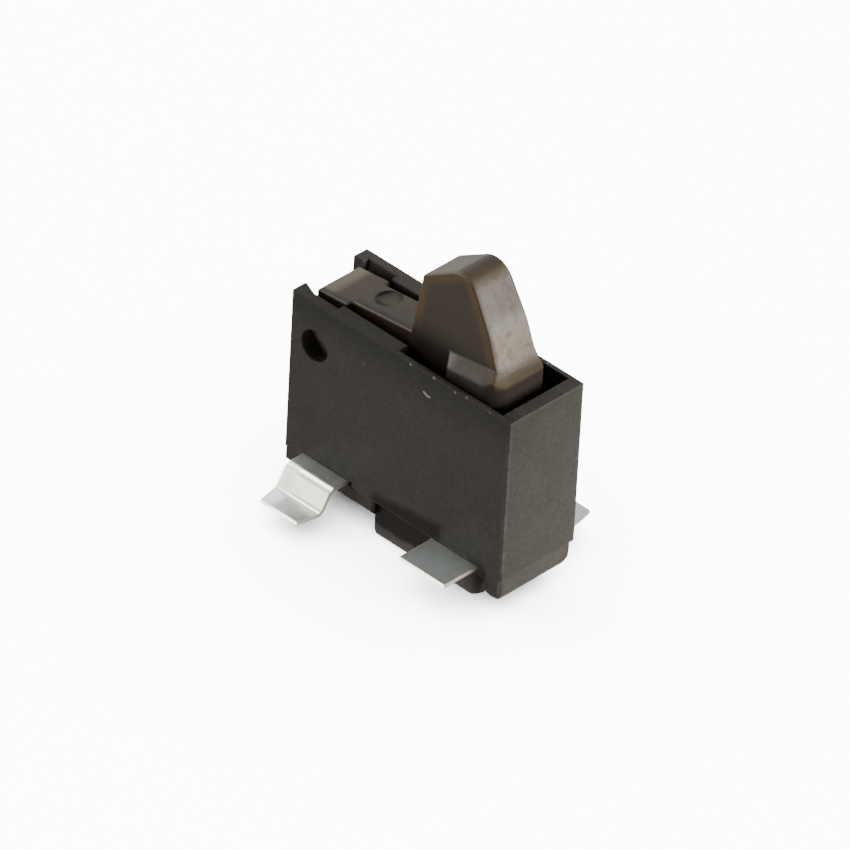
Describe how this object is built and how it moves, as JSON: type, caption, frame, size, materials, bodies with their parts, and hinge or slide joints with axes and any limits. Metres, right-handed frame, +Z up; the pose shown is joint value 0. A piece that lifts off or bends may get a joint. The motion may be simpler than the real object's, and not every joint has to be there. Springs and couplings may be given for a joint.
{
  "type": "detector switch",
  "caption": "Surface-mount detector switch with a sprung cam lever in an open-topped case, gull-wing solder leads and a locating boss.",
  "frame": {"origin": "under the middle of the body, level with the underside of the locating boss", "axes": "+X from the pivot end to the free end of the lever, +Y across the body, +Z up from the board"},
  "size_m": [0.0066, 0.005, 0.0076],
  "materials": {
    "case_plastic": "satin black moulding with a fine speckle and a few pale scuffs",
    "base_plastic": "satin black moulding",
    "tin_plate": "dull tin plating with fine scratches",
    "lever_plastic": "dark brown, slightly translucent moulding, paler and mottled on the working face",
    "contact_metal": "plain sheet",
    "spring_steel": "drawn wire"
  },
  "bodies": {
    "housing": {"case": "case_plastic", "base": "base_plastic", "common_terminal": "tin_plate", "switch_terminal": "tin_plate", "return_spring": "spring_steel"},
    "lever": {"lever": "lever_plastic", "moving_contact": "contact_metal"}
  },
  "joints": [
    {"name": "lever_pivot", "type": "hinge", "parent": "housing", "child": "lever", "pos_m": [-0.00252, 0, 0.00401], "axis": [0, 1, 0], "range_deg": [0, 25], "stiffness_Nm_per_rad": 0.0025, "springref_deg": -20.05, "deforming": ["return_spring"]}
  ]
}
